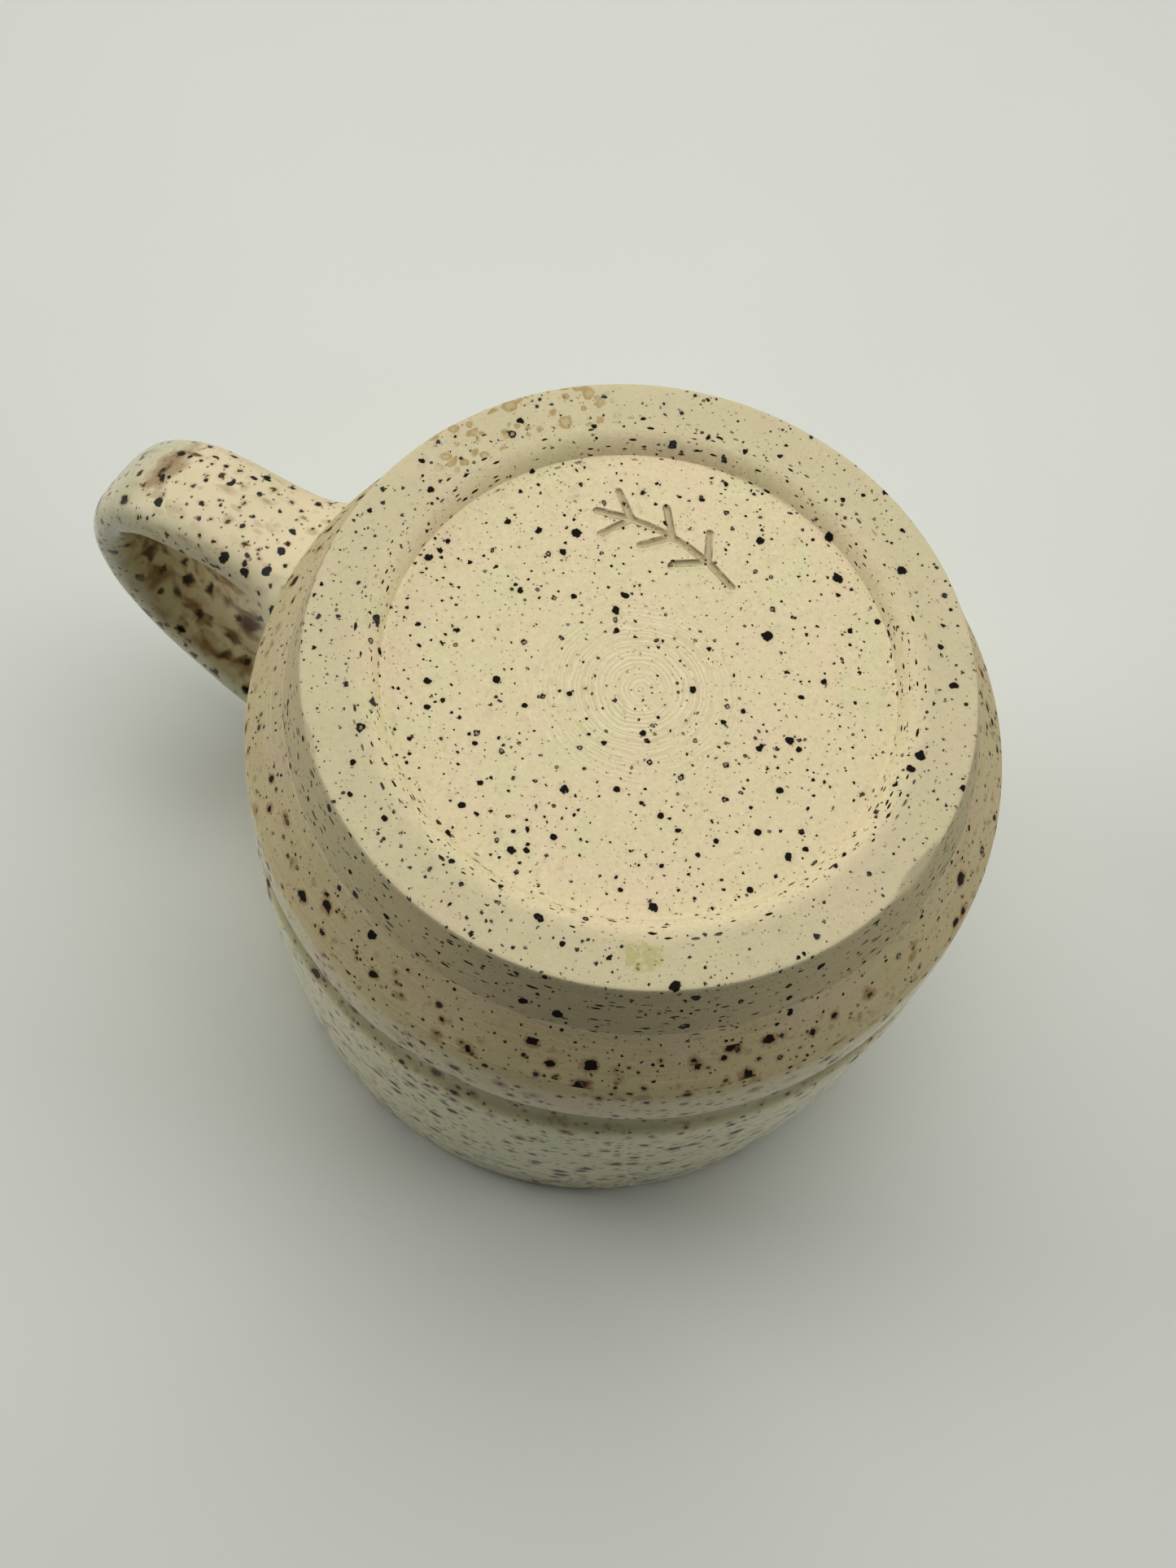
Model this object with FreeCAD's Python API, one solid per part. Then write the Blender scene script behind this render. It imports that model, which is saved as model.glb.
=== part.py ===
import FreeCAD, Part
import math
import os

# A wheel-thrown stoneware mug with a pulled strap handle.
# It is kept upside down, standing on its rim. Units are millimetres.
# The origin is on the turning axis in the plane of the rim. +Z runs from the rim to the
# foot, and the handle points along -X.

# --- driving dimensions -------------------------------------------------------------

height = 80.0            # rim plane to foot ring
foot_radius = 40.2       # sharp outer edge of the foot ring
foot_edge_round = 0.35   # small bevel on that edge
ring_inner_radius = 33.4  # where the flat of the foot ring ends
recess_radius = 31.0     # edge of the recessed centre of the foot
recess_depth = 2.5

break_radius = 42.7      # line between the two trimmed bands above the foot
break_height = 71.5
bevel_radius = 47.5      # end of the bare clay, where the glaze starts
bevel_height = 64.6
ridge_radius = 47.95     # the rounded ridge round the belly
ridge_middle = 59.0
ridge_bottom = 54.4      # its crisp lower edge
groove_radius = 46.8     # soft groove beside the ridge
groove_height = 51.4
shoulder_radius = 48.2   # fullest part of the wall
shoulder_height = 44.8
waist_radius = 47.1      # the wall leans in a little towards the rim
waist_height = 17.0

lip_thickness = 3.6      # over the glaze
lip_radius = 44.2        # middle of the lip
inner_wall_radius = 43.9
inner_corner_radius = 14.0
inner_floor_height = 73.4

glaze = 0.35             # thickness of every glaze coat

strap_turn_points = (    # middle line of the strap in the XZ plane, root to root
    (-44.6, 55.5),
    (-55.4, 57.3),
    (-68.0, 56.3),
    (-77.0, 50.8),
    (-80.3, 41.9),
    (-77.6, 32.1),
    (-69.6, 24.4),
    (-57.8, 19.0),
    (-44.6, 16.2),
)
strap_width_ends = 16.0  # over the clay, at the roots
strap_width_middle = 15.0
strap_thickness_ends = 7.6
strap_thickness_middle = 6.6
strap_roundness = 2.6    # exponent of the strap's rounded section
strap_sections = 17

joint_flare = 2.4        # how far the slipped joints spread round the strap at the wall
joint_reach = 3.5        # how quickly that spread dies away along the strap
joint_length = 6.0

mark_centre = (-6.6, 18.6)  # potter's sprig, cut in the recessed foot
mark_stem_radius = 24.0
mark_groove_radius = 0.45
mark_leaf_length = 4.2
mark_leaf_count = 3         # pairs

Z_AXIS = FreeCAD.Vector(0, 0, 1)
ORIGIN = FreeCAD.Vector(0, 0, 0)


# --- small helpers --------------------------------------------------------------------

def point(radius, z):
    return FreeCAD.Vector(radius, 0, z)


def line(start, end):
    return Part.makeLine(start, end)


def arc(start, middle, end):
    return Part.Arc(start, middle, end).toShape()


def smooth(points):
    curve = Part.BSplineCurve()
    curve.interpolate(points)
    return curve.toShape()


def turned(edges):
    """Solid of revolution from a closed half section."""
    face = Part.Face(Part.Wire(edges))
    return face.revolve(ORIGIN, Z_AXIS, 360)


def save(shape, name):
    if not shape.isValid():
        raise ValueError(name + " is not a valid solid")
    shape.exportStep("parts/" + name + ".step")
    print(name, "solids", len(shape.Solids), "volume", round(shape.Volume, 1))


# --- outlines shared by the clay and the glaze ------------------------------------------

def belly_edges(coat):
    """Ridge, groove and shoulder, from the end of the bare clay to the wall."""
    bevel_end = point(bevel_radius + coat, bevel_height)
    ridge_edge = point(ridge_radius + coat, ridge_bottom)
    ridge = arc(bevel_end, point(ridge_radius + coat, ridge_middle), ridge_edge)
    groove = smooth([
        ridge_edge,
        point(groove_radius + coat, groove_height),
        point(shoulder_radius + coat, shoulder_height),
    ])
    return [ridge, groove]


def lip_outer(coat):
    return point(lip_radius + lip_thickness / 2 - glaze + coat, lip_thickness / 2)


def lip_inner(coat):
    return point(lip_radius - lip_thickness / 2 + glaze - coat, lip_thickness / 2)


def wall_edge(coat):
    """Outside of the wall, from the shoulder down to the lip."""
    return arc(
        point(shoulder_radius + coat, shoulder_height),
        point(waist_radius + coat, waist_height),
        lip_outer(coat),
    )


def lip_edge(coat):
    bottom = point(lip_radius, glaze - coat)
    return arc(lip_outer(coat), bottom, lip_inner(coat))


def inside_edges(coat):
    """Inside of the wall and the floor, from the lip up to the turning axis."""
    wall = inner_wall_radius - coat
    floor = inner_floor_height - coat
    round_off = inner_corner_radius
    corner_height = floor - round_off
    corner_middle = point(
        wall - round_off + round_off * math.cos(math.pi / 4),
        corner_height + round_off * math.sin(math.pi / 4),
    )
    return [
        line(lip_inner(coat), point(wall, corner_height)),
        arc(point(wall, corner_height), corner_middle, point(wall - round_off, floor)),
        line(point(wall - round_off, floor), point(0, floor)),
    ]


def foot_edges():
    """Recessed foot, foot ring and the two bare trimmed bands, from the axis outwards."""
    recess_height = height - recess_depth
    ring_start = point(ring_inner_radius, height)
    recess_edge = point(recess_radius, recess_height)
    cove_middle = point(
        (ring_inner_radius + recess_radius) / 2,
        recess_height + recess_depth * 0.74,
    )
    ring_end = point(foot_radius - foot_edge_round, height)
    foot_edge = point(foot_radius, height - foot_edge_round)
    trim_break = point(break_radius, break_height)
    return [
        line(point(0, recess_height), recess_edge),
        arc(recess_edge, cove_middle, ring_start),
        line(ring_start, ring_end),
        line(ring_end, foot_edge),
        line(foot_edge, trim_break),
        line(trim_break, point(bevel_radius, bevel_height)),
    ]


# --- the thrown clay body -----------------------------------------------------------------

def mark_groove(start, end):
    """A round-bottomed tool stroke lying in the recessed floor."""
    along = end - start
    stroke = Part.makeCylinder(mark_groove_radius, along.Length, start, along)
    for tip in (start, end):
        stroke = stroke.fuse(Part.makeSphere(mark_groove_radius, tip))
    return stroke


def potters_sprig():
    """A plain leaf sprig: a bent stem of short strokes with leaves in pairs."""
    floor = height - recess_depth
    strokes = []
    step = math.radians(9.5)
    middle = FreeCAD.Vector(mark_centre[0], mark_centre[1], floor)
    hub = middle - FreeCAD.Vector(0, mark_stem_radius, 0)

    def on_stem(turn):
        return hub + FreeCAD.Vector(-math.sin(turn), math.cos(turn), 0) * mark_stem_radius

    for index in range(-2, 3):
        strokes.append(mark_groove(on_stem(step * (index - 0.5)), on_stem(step * (index + 0.5))))
    for index in range(mark_leaf_count):
        turn = step * (index - 1) * 1.4
        for side in (-1, 1):
            lean = turn + math.radians(90 - side * 50)
            tip = FreeCAD.Vector(-math.sin(lean), math.cos(lean), 0) * mark_leaf_length
            start = on_stem(turn)
            strokes.append(mark_groove(start, start + tip))
    return strokes


def body_outline(coat):
    return belly_edges(coat) + [wall_edge(coat), lip_edge(coat)]


def thrown_body():
    edges = foot_edges() + body_outline(0)
    edges += inside_edges(0)
    edges.append(line(point(0, inner_floor_height), point(0, height - recess_depth)))
    body = turned(edges)
    return body.cut(potters_sprig())


def body_envelope(coat):
    """The body filled in, used to trim what meets its outside."""
    bevel_end = point(bevel_radius, bevel_height)
    edges = [line(point(0, bevel_height), bevel_end)]
    if coat:
        edges.append(line(bevel_end, point(bevel_radius + coat, bevel_height)))
    edges += belly_edges(coat) + [wall_edge(coat)]
    edges.append(line(lip_outer(coat), point(0, lip_thickness / 2)))
    edges.append(line(point(0, lip_thickness / 2), point(0, bevel_height)))
    return turned(edges)


# --- the strap handle -----------------------------------------------------------------------

def strap_path():
    curve = Part.BSplineCurve()
    curve.interpolate([FreeCAD.Vector(x, 0, z) for x, z in strap_turn_points])
    return curve


def strap_section(path, distance, grow):
    """Rounded flat section of the strap, square to its middle line."""
    length = path.length()
    parameter = path.parameterAtDistance(distance, path.FirstParameter)
    centre = path.value(parameter)
    along = FreeCAD.Vector(*path.tangent(parameter)[0])
    across = FreeCAD.Vector(0, 1, 0)
    outward = along.cross(across)
    end_share = abs(2 * distance / length - 1) ** 2
    half_width = strap_width_middle / 2
    half_width += (strap_width_ends - strap_width_middle) / 2 * end_share + grow
    half_thickness = strap_thickness_middle / 2
    half_thickness += (strap_thickness_ends - strap_thickness_middle) / 2 * end_share + grow
    points = []
    for step in range(24):
        turn = math.radians(step * 15)
        cosine = math.cos(turn)
        sine = math.sin(turn)
        wide = math.copysign(abs(cosine) ** (2 / strap_roundness), cosine)
        thick = math.copysign(abs(sine) ** (2 / strap_roundness), sine)
        points.append(centre + across * (wide * half_width) + outward * (thick * half_thickness))
    curve = Part.BSplineCurve()
    curve.interpolate(Points=points, PeriodicFlag=True)
    return Part.Wire(curve.toShape())


def flare(distance_from_wall):
    return joint_flare * math.exp(-(max(distance_from_wall, 0) / joint_reach) ** 2)


def wall_gap():
    """Length of the strap's middle line that is hidden in the wall at each root."""
    return ridge_radius - abs(strap_turn_points[0][0])


def strap(grow, flared):
    path = strap_path()
    length = path.length()
    wires = []
    for index in range(strap_sections):
        distance = length * index / (strap_sections - 1)
        extra = grow
        if flared:
            nearest_end = min(distance, length - distance)
            extra += flare(nearest_end - wall_gap())
        wires.append(strap_section(path, distance, extra))
    return Part.makeLoft(wires, True)


def joint_collar(at_rim_side):
    """Slip and soft clay pressed round one root of the strap."""
    path = strap_path()
    length = path.length()
    wires = []
    for index in range(5):
        distance = (wall_gap() + joint_length) * index / 4
        extra = flare(distance - wall_gap())
        if at_rim_side:
            distance = length - distance
        wires.append(strap_section(path, distance, extra))
    return Part.makeLoft(wires, True)


# --- glaze coats ------------------------------------------------------------------------------

def outer_coat():
    """Glaze on the outside, from the end of the bare clay down to the lip."""
    edges = [
        line(point(bevel_radius, bevel_height), point(bevel_radius + glaze, bevel_height)),
        wall_edge(glaze),
        line(lip_outer(glaze), lip_outer(0)),
        wall_edge(0),
    ]
    edges += belly_edges(glaze) + belly_edges(0)
    return turned(Part.__sortEdges__(edges))


def lip_coat():
    """Glaze rolled over the lip; the mug stands on it."""
    edges = [
        line(lip_outer(0), lip_outer(glaze)),
        lip_edge(glaze),
        line(lip_inner(glaze), lip_inner(0)),
        lip_edge(0),
    ]
    return turned(Part.__sortEdges__(edges))


def liner_coat():
    """Glaze inside the mug, from the lip to the middle of the floor."""
    edges = inside_edges(0) + inside_edges(glaze)
    edges.append(line(lip_inner(0), lip_inner(glaze)))
    edges.append(line(point(0, inner_floor_height), point(0, inner_floor_height - glaze)))
    return turned(Part.__sortEdges__(edges))


# --- build and write ----------------------------------------------------------------------------

def main():
    os.makedirs("parts", exist_ok=True)
    clay_envelope = body_envelope(0)
    glazed_envelope = body_envelope(glaze)

    handle = strap(0, False).cut(clay_envelope)
    foot_joint = joint_collar(False).cut([clay_envelope, handle])
    rim_joint = joint_collar(True).cut([clay_envelope, handle])
    outer = outer_coat().cut([handle, foot_joint, rim_joint])
    handle_coat = strap(glaze, True).cut([glazed_envelope, handle, foot_joint, rim_joint])

    save(thrown_body(), "thrown_body")
    save(handle, "pulled_handle")
    save(foot_joint, "foot_side_joint")
    save(rim_joint, "rim_side_joint")
    save(outer, "outer_glaze")
    save(liner_coat(), "liner_glaze")
    save(lip_coat(), "rim_glaze")
    save(handle_coat, "handle_glaze")


main()
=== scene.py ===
import math

import bpy
from mathutils import Matrix, Vector, noise


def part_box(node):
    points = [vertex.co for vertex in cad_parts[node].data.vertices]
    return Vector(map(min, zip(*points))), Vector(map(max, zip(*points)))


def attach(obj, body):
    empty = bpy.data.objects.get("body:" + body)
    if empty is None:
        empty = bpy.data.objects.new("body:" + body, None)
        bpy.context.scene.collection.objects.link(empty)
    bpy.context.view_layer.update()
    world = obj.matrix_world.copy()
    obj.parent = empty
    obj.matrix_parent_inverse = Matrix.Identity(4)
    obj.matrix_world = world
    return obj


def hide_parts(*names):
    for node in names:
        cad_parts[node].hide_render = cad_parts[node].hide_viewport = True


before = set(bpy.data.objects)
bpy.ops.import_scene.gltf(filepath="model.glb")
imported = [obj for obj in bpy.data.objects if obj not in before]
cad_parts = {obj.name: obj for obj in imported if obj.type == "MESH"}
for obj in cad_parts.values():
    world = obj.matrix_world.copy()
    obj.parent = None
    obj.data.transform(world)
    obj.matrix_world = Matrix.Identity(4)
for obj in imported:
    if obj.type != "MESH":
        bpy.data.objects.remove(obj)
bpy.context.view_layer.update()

MM = 0.001

# --- sizes read from the frame ------------------------------------------------------------

foot_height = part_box("thrown_body")[1].z
glaze_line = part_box("outer_glaze")[1].z
liner_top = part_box("liner_glaze")[1].z
wall_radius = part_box("outer_glaze")[1].x
lip_outer_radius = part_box("rim_glaze")[1].x
lip_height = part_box("rim_glaze")[1].z

# --- sizes of the mug, as its maker would note them ---------------------------------------

coat = 0.35 * MM                  # glaze thickness
foot_radius = 40.2 * MM
ring_inner_radius = 33.4 * MM
recess_radius = 31.0 * MM
recess_depth = 2.5 * MM
floor_dish = 0.35 * MM            # the recessed floor sags towards its middle
cove_end_radius = ring_inner_radius + 2.1 * MM
cove_steepness = 3.6
foot_zone = foot_height - 4 * MM  # the chips and the sprig all lie above this
foot_flat_end = (foot_radius - 0.5 * MM, foot_height)
foot_corner = (foot_radius + 0.05 * MM, foot_height - 0.45 * MM)
break_radius = 42.7 * MM
break_height = 71.5 * MM
bevel_radius = 47.5 * MM
ridge_radius = 47.95 * MM
ridge_middle = 59.0 * MM
ridge_bottom = 54.4 * MM
groove_radius = 46.8 * MM
groove_height = 51.4 * MM
shoulder_radius = wall_radius - coat
shoulder_height = 44.8 * MM
waist_radius = 47.1 * MM
waist_height = 17.0 * MM
lip_radius = 44.2 * MM
lip_half = lip_outer_radius - lip_radius
inner_wall_radius = 43.9 * MM
inner_corner_radius = 14.0 * MM
inner_floor_height = liner_top

TURN_STEPS = 320                  # facets round every turned piece


# --- modelling helpers --------------------------------------------------------------------

def clear_selection():
    if bpy.context.object and bpy.context.object.mode != "OBJECT":
        bpy.ops.object.mode_set(mode="OBJECT")
    bpy.ops.object.select_all(action="DESELECT")


def finish_mesh(piece, sharp_angle):
    """Merges doubles, points every face outwards and shades the piece."""
    clear_selection()
    piece.select_set(True)
    bpy.context.view_layer.objects.active = piece
    bpy.ops.object.mode_set(mode="EDIT")
    bpy.ops.mesh.select_all(action="SELECT")
    bpy.ops.mesh.remove_doubles(threshold=0.002 * MM)
    bpy.ops.mesh.normals_make_consistent(inside=False)
    bpy.ops.object.mode_set(mode="OBJECT")
    bpy.ops.object.shade_smooth_by_angle(angle=math.radians(sharp_angle))
    bpy.ops.object.transform_apply(location=True, rotation=True, scale=True)


def turned_piece(name, outline, closed):
    """Draws half a section as a ring of points in the XZ plane and turns it round the mug's axis."""
    clear_selection()
    bpy.ops.mesh.primitive_circle_add(vertices=len(outline), radius=wall_radius)
    piece = bpy.context.object
    piece.name = name
    for vertex, (radius, height) in zip(piece.data.vertices, outline):
        vertex.co = (radius, 0, height)
    if not closed:   # the two ends lie on the axis, and nothing joins them
        bpy.ops.object.mode_set(mode="EDIT")
        bpy.ops.mesh.select_all(action="DESELECT")
        bpy.ops.object.mode_set(mode="OBJECT")
        for edge in piece.data.edges:
            edge.select = {0, len(outline) - 1} == set(edge.vertices)
        bpy.ops.object.mode_set(mode="EDIT")
        bpy.ops.mesh.select_mode(type="EDGE")
        bpy.ops.mesh.delete(type="EDGE_FACE")
        bpy.ops.mesh.select_mode(type="VERT")
        bpy.ops.object.mode_set(mode="OBJECT")
    wheel = piece.modifiers.new("wheel", "SCREW")
    wheel.angle = 2 * math.pi
    wheel.steps = wheel.render_steps = TURN_STEPS
    wheel.use_merge_vertices = True
    wheel.merge_threshold = 0.001 * MM
    bpy.ops.object.modifier_apply(modifier="wheel")
    return piece


def reshape(piece, rule):
    """Moves every point of the piece by a rule, as a thumb or a tool would."""
    for vertex in piece.data.vertices:
        vertex.co = rule(vertex.co)
    piece.data.update()


# --- outline helpers ----------------------------------------------------------------------

def run(start, end, count):
    """Evenly spaced points of a straight stretch, without its last one."""
    return [
        (start[0] + (end[0] - start[0]) * k / count, start[1] + (end[1] - start[1]) * k / count)
        for k in range(count)
    ]


def bend(centre, radius, start_angle, end_angle, count):
    """Points of a round stretch, without its last one."""
    points = []
    for k in range(count):
        angle = math.radians(start_angle + (end_angle - start_angle) * k / count)
        points.append((centre[0] + radius * math.cos(angle), centre[1] + radius * math.sin(angle)))
    return points


def flowing(knots, count):
    """A smooth line through the knots, with count points between each two, without its last one."""
    padded = [knots[0]] + list(knots) + [knots[-1]]
    points = []
    for a, b, c, d in zip(padded, padded[1:], padded[2:], padded[3:]):
        for k in range(count):
            t = k / count
            points.append(tuple(
                0.5 * (2 * b[i] + (c[i] - a[i]) * t
                       + (2 * a[i] - 5 * b[i] + 4 * c[i] - d[i]) * t * t
                       + (3 * b[i] - a[i] - 3 * c[i] + d[i]) * t ** 3)
                for i in (0, 1)
            ))
    return points


def belly_outline(grow, count):
    """Ridge with a crisp lower edge, then the groove under it and the shoulder."""
    feather = grow * 0.03   # the glaze runs out to nothing at its upper edge
    ridge = flowing([
        (bevel_radius + feather, glaze_line),
        (bevel_radius + grow * 0.75 + 0.14 * MM, glaze_line - 1.6 * MM),
        (ridge_radius + grow, ridge_middle),
        (ridge_radius + grow + 0.05 * MM, ridge_bottom + 2.0 * MM),
        (ridge_radius + grow - 0.02 * MM, ridge_bottom + 0.45 * MM),
    ], count)
    groove = flowing([
        (ridge_radius + grow - 0.02 * MM, ridge_bottom + 0.45 * MM),
        (ridge_radius + grow - 0.32 * MM, ridge_bottom - 0.15 * MM),
        (groove_radius + grow + 0.25 * MM, ridge_bottom - 1.3 * MM),
        (groove_radius + grow, groove_height),
        (groove_radius + grow + 0.45 * MM, groove_height - 2.6 * MM),
        (shoulder_radius + grow - 0.2 * MM, shoulder_height + 1.9 * MM),
        (shoulder_radius + grow, shoulder_height),
    ], count)
    return ridge + groove


def wall_outline(grow, count):
    return flowing([
        (shoulder_radius + grow, shoulder_height),
        ((shoulder_radius + waist_radius) / 2 + grow + 0.2 * MM, (shoulder_height + waist_height) / 2),
        (waist_radius + grow, waist_height),
        (lip_radius + lip_half - coat + grow, lip_height),
    ], count)


def lip_outline(grow, count):
    return bend((lip_radius, lip_height), lip_half - coat + grow, 0, -180, count)


def liner_outline(grow, wall_count, corner_count, floor_count):
    """Inside of the mug, from the lip up the wall and across the floor to the axis."""
    wall = inner_wall_radius - grow
    floor = inner_floor_height - grow
    corner = floor - inner_corner_radius
    lip_inside = (lip_radius - lip_half + coat - grow, lip_height)
    above_lip = (wall - 0.5 * MM, lip_height + 14 * MM)
    points = flowing([lip_inside, above_lip, (wall, corner)], wall_count)
    points += bend((wall - inner_corner_radius, corner), inner_corner_radius, 0, 90, corner_count)
    points += run((wall - inner_corner_radius, floor), (0, floor), floor_count)
    return points + [(0, floor)]


# --- relief left by the maker's hands and tools -------------------------------------------

ring_middle = Vector((0.9 * MM, -1.7 * MM, 0))   # the last turning rings are a little off centre
chip_reach = 3.5 * MM                            # no chip reaches further in than this
chips = (                                        # angle round the foot, half width, depth
    (-7.5, 7.0, 0.75 * MM),
    (-132.0, 5.0, 0.45 * MM),
    (62.0, 3.0, 0.25 * MM),
    (-66.0, 2.5, 0.22 * MM),
)


def ease(value):
    value = min(max(value, 0.0), 1.0)
    return value * value * (3 - 2 * value)


def turning_relief(place):
    """Height of the turning rings on the recessed floor and the foot ring."""
    radius = math.hypot(place.x - ring_middle.x, place.y - ring_middle.y)
    patch = 0.5 + 0.5 * noise.noise(Vector((place.x, place.y, 3.1)) / (9 * MM))
    fine = math.sin(radius / (0.155 * MM) + 1.5 * noise.noise(Vector((radius / (2.5 * MM), 0, 7))))
    coarse = noise.noise(Vector((radius / (1.6 * MM), 4.2, 0)))
    centred = 1 - ease((radius - 9 * MM) / (12 * MM))
    return (0.011 * fine * patch * centred + 0.035 * coarse) * MM


def worn(place):
    """Small dents of a hand-made surface."""
    return noise.noise(place / (7 * MM)) * 0.05 * MM + noise.noise(place / (1.7 * MM)) * 0.012 * MM


def chip_foot(place):
    """Cuts the sharp edge of the foot back where it is chipped, and nibbles it all round."""
    radius = math.hypot(place.x, place.y)
    reach = foot_radius - radius
    if place.z < foot_zone or reach > chip_reach:
        return place
    angle = math.degrees(math.atan2(place.y, place.x))
    nibble = 0.10 * MM * (0.5 + noise.noise(Vector((angle / 2.2, 0, 1.3))))
    depth = max(nibble, 0)
    for middle, half_width, most in chips:
        off_middle = (angle - middle + 180) % 360 - 180
        ragged = 1 + 0.25 * noise.noise(Vector((angle / 1.3, middle, 0)))
        depth = max(depth, most * ragged * (1 - (off_middle / half_width) ** 2))
    # a flat facet at 45 degrees, cut this deep into the corner
    over = (radius - foot_radius) + (place.z - foot_height) + depth * 1.6
    if over <= 0:
        return place
    outward = Vector((place.x, place.y, 0)) / radius
    return place - (outward + Vector((0, 0, 1))) * over / 2


# --- the incised sprig --------------------------------------------------------------------

sprig_middle = Vector((-6.6 * MM, 18.6 * MM))
sprig_stem_radius = 24.0 * MM
sprig_step = math.radians(9.5)
sprig_leaf = 4.2 * MM
sprig_leaf_spacing = 1.4          # steps of the stem between two pairs of leaves
sprig_leaf_lean = 50              # degrees between a leaf and the stem
sprig_reach = 16 * MM             # the whole sprig lies this near its middle
stroke_half = 0.5 * MM
stroke_depth = 0.42 * MM
stroke_reach = 1.5 * MM           # clay further than this from a stroke is left alone
burr_height = 0.09 * MM
burr_width = 0.22 * MM


def sprig_strokes():
    """A plain leaf sprig: a bent stem with three pairs of leaves."""
    hub = sprig_middle - Vector((0, sprig_stem_radius))

    def on_stem(turn):
        return hub + Vector((-math.sin(turn), math.cos(turn))) * sprig_stem_radius

    strokes = [
        (on_stem(sprig_step * (index - 0.5)), on_stem(sprig_step * (index + 0.5)))
        for index in range(-2, 3)
    ]
    for index in range(3):
        turn = sprig_step * (index - 1) * sprig_leaf_spacing
        for side in (-1, 1):
            lean = turn + math.radians(90 - side * sprig_leaf_lean)
            start = on_stem(turn)
            strokes.append((start, start + Vector((-math.sin(lean), math.cos(lean))) * sprig_leaf))
    return strokes


def distance_to_stroke(place, stroke):
    start, end = stroke
    along = end - start
    share = min(max((place - start).dot(along) / along.length_squared, 0), 1)
    return (place - start - along * share).length


def incise_sprig(piece):
    """Divides the clay finely round the sprig, then presses the strokes in and raises their burrs."""
    strokes = sprig_strokes()
    pressed = []
    clear_selection()
    bpy.context.view_layer.objects.active = piece
    piece.select_set(True)
    bpy.ops.object.mode_set(mode="EDIT")
    bpy.ops.mesh.select_all(action="DESELECT")
    bpy.ops.object.mode_set(mode="OBJECT")
    for face in piece.data.polygons:
        if face.center.z > foot_height - recess_depth - floor_dish - MM:
            flat = Vector(face.center[:2])
            if (flat - sprig_middle).length < sprig_reach:
                face.select = min(distance_to_stroke(flat, s) for s in strokes) < stroke_reach
    bpy.ops.object.mode_set(mode="EDIT")
    bpy.ops.mesh.subdivide(number_cuts=2)
    bpy.ops.object.mode_set(mode="OBJECT")

    def press(place):
        """Lowers a point under a stroke and notes how far into the stroke it lies."""
        flat = Vector(place[:2])
        pressed.append(0.0)
        if place.z < foot_zone or (flat - sprig_middle).length > sprig_reach:
            return place
        off_stroke = min(distance_to_stroke(flat, s) for s in strokes)
        if off_stroke > stroke_reach:
            return place
        pressed[-1] = max(1 - off_stroke / (stroke_half * 1.3), 0)
        wobble = 1 + 0.25 * noise.noise(place / (0.8 * MM))
        depth = stroke_depth * wobble * (1 - ease(off_stroke / stroke_half))
        off_burr = off_stroke - stroke_half * 1.25
        burr = burr_height * wobble * math.exp(-(off_burr / burr_width) ** 2)
        return place + Vector((0, 0, burr - depth))

    reshape(piece, press)
    stained = piece.data.attributes.new("pressed", "FLOAT", "POINT")
    for slot, share in zip(stained.data, pressed):
        slot.value = share


# --- the clay body ------------------------------------------------------------------------

def thrown_clay():
    """The bare foot and trimmed bands in full detail, and the plain clay under the glaze."""
    floor = foot_height - recess_depth
    foot = [
        (radius, floor - floor_dish * (1 - (radius / recess_radius) ** 2))
        for radius, _ in run((0, 0), (recess_radius, 0), 92)
    ]
    cove_width = cove_end_radius - recess_radius
    foot += [
        (recess_radius + cove_width * share, foot_height - recess_depth * (1 - share) ** cove_steepness)
        for share, _ in run((0, 0), (1, 0), 30)
    ]
    foot += run((cove_end_radius, foot_height), foot_flat_end, 16)
    foot_edge = (foot_radius - 0.12 * MM, foot_height - 0.10 * MM)
    foot += flowing([foot_flat_end, foot_edge, foot_corner], 4)
    foot += run(foot_corner, (break_radius, break_height), 24)
    foot += run((break_radius, break_height), (bevel_radius, glaze_line), 26)
    hidden = belly_outline(0, 2) + wall_outline(0, 3) + lip_outline(0, 6)
    inside = liner_outline(0, 4, 6, 3)
    piece = turned_piece("thrown_clay_body", foot + hidden + inside, False)

    def tooled(place):
        """Rings and dents on the foot, and fine bands on the two trimmed bevels."""
        radius = math.hypot(place.x, place.y)
        if place.z > foot_height - 3 * MM and radius < foot_radius + MM:
            place = place + Vector((0, 0, turning_relief(place) + worn(place) - 0.05 * MM))
            return chip_foot(place)
        if place.z > glaze_line and radius > foot_radius - MM:
            band = noise.noise(Vector((place.z / (0.42 * MM), 5.5, 0))) * 0.02 * MM
            fade = ease((place.z - glaze_line) / (1.5 * MM))
            return place + Vector((place.x, place.y, 0)) / radius * (band + worn(place)) * fade
        return place

    reshape(piece, tooled)
    incise_sprig(piece)
    finish_mesh(piece, 60)
    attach(piece, "root")
    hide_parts("thrown_body")
    return piece


# --- the glaze coats ----------------------------------------------------------------------

def glaze_flow(place):
    """Soft throwing rings and a slight wobble on the glazed wall."""
    radius = math.hypot(place.x, place.y)
    if radius < MM:
        return place
    fade = ease((glaze_line - place.z) / (2 * MM)) * ease((place.z - lip_height) / (4 * MM))
    rings = 0.10 * MM * noise.noise(Vector((place.z / (4.2 * MM), 1.1, 0)))
    wobble = 0.10 * MM * noise.noise(place / (14 * MM))
    return place + Vector((place.x, place.y, 0)) / radius * (rings + wobble) * fade


def turned_coat(name, outside, inside, node):
    """A closed glaze coat between its outer line and the clay behind it."""
    piece = turned_piece(name, outside + inside[::-1], True)
    reshape(piece, glaze_flow)
    finish_mesh(piece, 50)
    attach(piece, "root")
    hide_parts(node)
    return piece


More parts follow.
